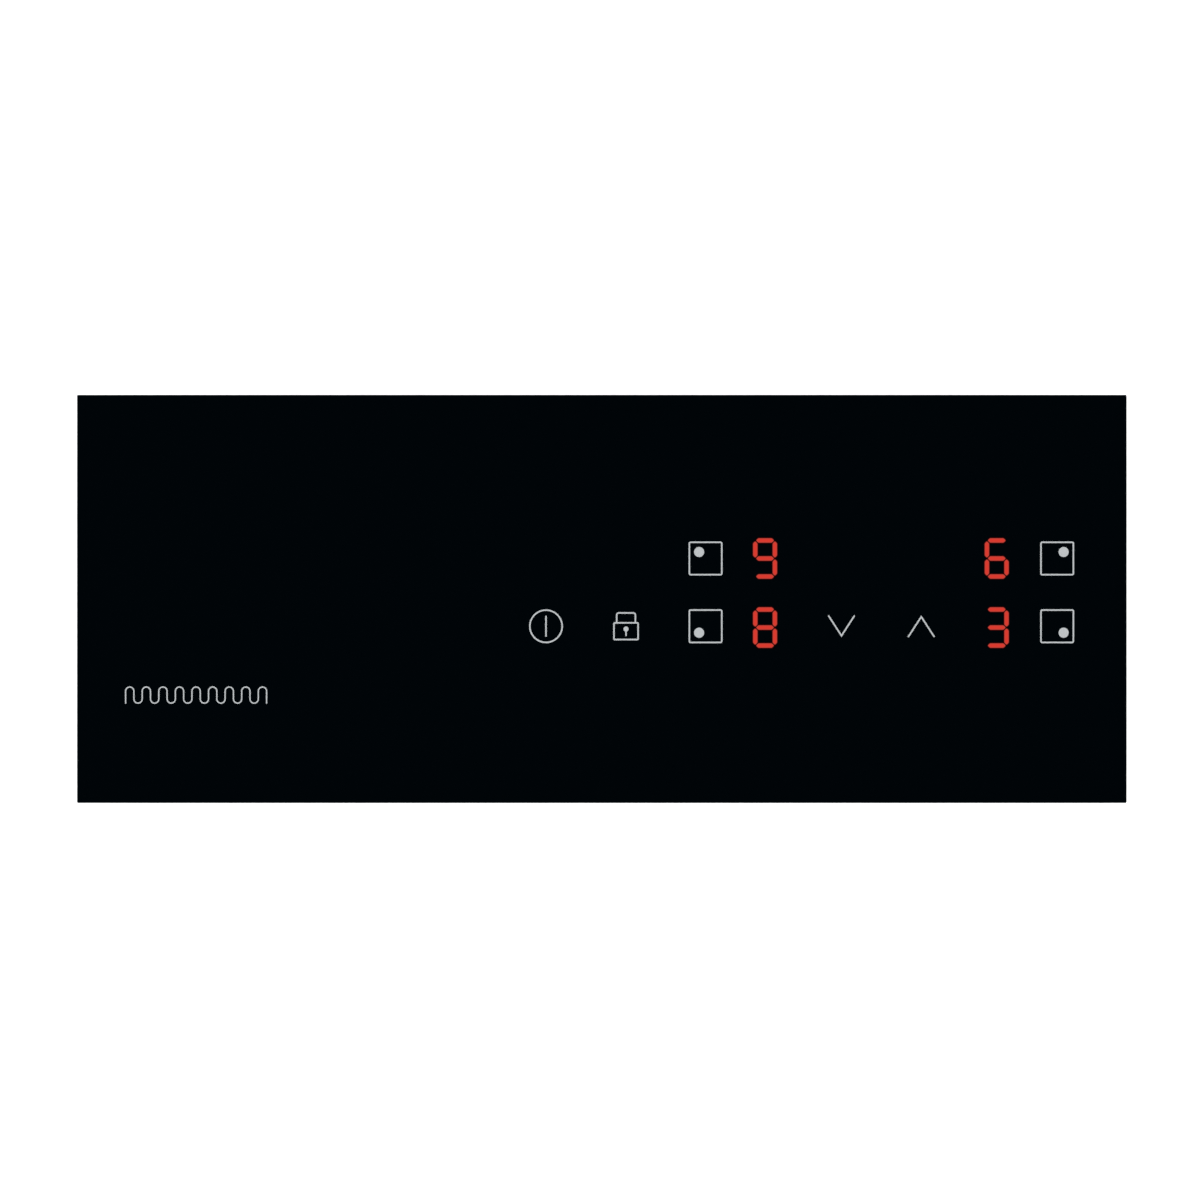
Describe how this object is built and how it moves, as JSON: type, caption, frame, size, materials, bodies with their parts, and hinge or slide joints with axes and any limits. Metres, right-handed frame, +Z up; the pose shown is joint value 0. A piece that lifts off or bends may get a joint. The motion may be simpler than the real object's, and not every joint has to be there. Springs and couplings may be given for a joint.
{
  "type": "electric induction cooktop",
  "caption": "Slim built-in induction cooktop: wide black glass plate with touch keys and lit digits over a shallow vented steel tub with swing-out fixing clamps.",
  "frame": {"origin": "under the middle of the cooktop, on the plane of the tub's underside", "axes": "+X to the right along the glass, +Y to the rear (away from the cook), +Z up"},
  "size_m": [0.9, 0.35, 0.0541],
  "materials": {
    "black_glass": "polished black toughened glass",
    "enamel_mark": "fired light grey enamel print, satin",
    "display_light": "lit red display segments",
    "foam_seal": "closed-cell foam, matt",
    "silicone": "cured black silicone, satin",
    "painted_steel": "black powder coat, fine grain",
    "galvanised_steel": "hot-dip galvanised sheet, faint spangle",
    "zinc_screw": "bright zinc plate",
    "aluminium": "mill finish",
    "copper_winding": "enamelled stranded copper wire",
    "black_plastic": "moulded, fine spark texture",
    "grey_plastic": "moulded, matt",
    "circuit_board": "green solder mask",
    "mica": "pressed mica paper",
    "ceramic_white": "unglazed ceramic and white thermoplastic",
    "display_case": "black display body with red epoxy bars",
    "touch_foil": "printed polyester film"
  },
  "bodies": {
    "root": {"glass_top": "black_glass", "worktop_seal": "foam_seal", "glass_adhesive": "silicone", "mounting_frame": "painted_steel", "bottom_tub": "galvanised_steel", "mica_sheet": "mica", "coil_tray": "aluminium", "touch_sensor_foil": "touch_foil", "control_board": "circuit_board", "control_tray": "black_plastic", "ribbon_cable": "grey_plastic", "filter_board": "circuit_board", "terminal_box": "black_plastic", "terminal_block": "ceramic_white", "terminal_lid_pin": "zinc_screw", "strain_relief_saddle": "grey_plastic", "mains_lead": "black_plastic", "power_key_mark": "enamel_mark", "lock_key_mark": "enamel_mark", "level_down_key_mark": "enamel_mark", "level_up_key_mark": "enamel_mark", "coil_mark": "enamel_mark", "zone_key_mark_front_left": "enamel_mark", "display_front_left": "display_case", "zone_key_mark_front_right": "enamel_mark", "display_front_right": "display_case", "zone_key_mark_rear_left": "enamel_mark", "display_rear_left": "display_case", "zone_key_mark_rear_right": "enamel_mark", "display_rear_right": "display_case", "coil_winding_rear_left": "copper_winding", "coil_carrier_rear_left": "grey_plastic", "temperature_sensor_rear_left": "ceramic_white", "coil_winding_front_left": "copper_winding", "coil_carrier_front_left": "grey_plastic", "temperature_sensor_front_left": "ceramic_white", "coil_winding_rear_right": "copper_winding", "coil_carrier_rear_right": "grey_plastic", "temperature_sensor_rear_right": "ceramic_white", "coil_winding_front_right": "copper_winding", "coil_carrier_front_right": "grey_plastic", "temperature_sensor_front_right": "ceramic_white", "fan_housing_left": "black_plastic", "power_board_left": "circuit_board", "heat_sink_left": "aluminium", "fan_housing_right": "black_plastic", "power_board_right": "circuit_board", "heat_sink_right": "aluminium"},
    "blower_rotor_left": {"fan_rotor_left": "grey_plastic"},
    "blower_rotor_right": {"fan_rotor_right": "grey_plastic"},
    "terminal_cover": {"terminal_lid": "black_plastic"},
    "clamp_lift_front_left": {"clamp_screw_front_left": "zinc_screw"},
    "clamp_arm_front_left": {"fixing_clamp_front_left": "zinc_screw"},
    "clamp_lift_front_right": {"clamp_screw_front_right": "zinc_screw"},
    "clamp_arm_front_right": {"fixing_clamp_front_right": "zinc_screw"},
    "clamp_lift_rear_left": {"clamp_screw_rear_left": "zinc_screw"},
    "clamp_arm_rear_left": {"fixing_clamp_rear_left": "zinc_screw"},
    "clamp_lift_rear_right": {"clamp_screw_rear_right": "zinc_screw"},
    "clamp_arm_rear_right": {"fixing_clamp_rear_right": "zinc_screw"}
  },
  "joints": [
    {"name": "blower_spin_left", "type": "hinge", "parent": "root", "child": "blower_rotor_left", "pos_m": [-0.11, 0, 0.0125], "axis": [0, 0, 1], "continuous": true},
    {"name": "blower_spin_right", "type": "hinge", "parent": "root", "child": "blower_rotor_right", "pos_m": [0.11, 0, 0.0125], "axis": [0, 0, 1], "continuous": true},
    {"name": "terminal_cover_hinge", "type": "hinge", "parent": "root", "child": "terminal_cover", "pos_m": [0.3759, 0.1089, 0.0045], "axis": [-1, 0, 0], "range_deg": [0, 95]},
    {"name": "clamp_tighten_front_left", "type": "slide", "parent": "root", "child": "clamp_lift_front_left", "axis": [0, 0, 1], "range_m": [0, 0.01]},
    {"name": "clamp_swing_front_left", "type": "hinge", "parent": "clamp_lift_front_left", "child": "clamp_arm_front_left", "pos_m": [-0.2599, -0.1522, 0.0063], "axis": [0, 0, -1], "range_deg": [0, 90]},
    {"name": "clamp_tighten_front_right", "type": "slide", "parent": "root", "child": "clamp_lift_front_right", "axis": [0, 0, 1], "range_m": [0, 0.01]},
    {"name": "clamp_swing_front_right", "type": "hinge", "parent": "clamp_lift_front_right", "child": "clamp_arm_front_right", "pos_m": [0.2599, -0.1522, 0.0063], "axis": [0, 0, -1], "range_deg": [0, 90]},
    {"name": "clamp_tighten_rear_left", "type": "slide", "parent": "root", "child": "clamp_lift_rear_left", "axis": [0, 0, 1], "range_m": [0, 0.01]},
    {"name": "clamp_swing_rear_left", "type": "hinge", "parent": "clamp_lift_rear_left", "child": "clamp_arm_rear_left", "pos_m": [-0.2599, 0.1522, 0.0063], "axis": [0, 0, 1], "range_deg": [0, 90]},
    {"name": "clamp_tighten_rear_right", "type": "slide", "parent": "root", "child": "clamp_lift_rear_right", "axis": [0, 0, 1], "range_m": [0, 0.01]},
    {"name": "clamp_swing_rear_right", "type": "hinge", "parent": "clamp_lift_rear_right", "child": "clamp_arm_rear_right", "pos_m": [0.2599, 0.1522, 0.0063], "axis": [0, 0, 1], "range_deg": [0, 90]}
  ]
}
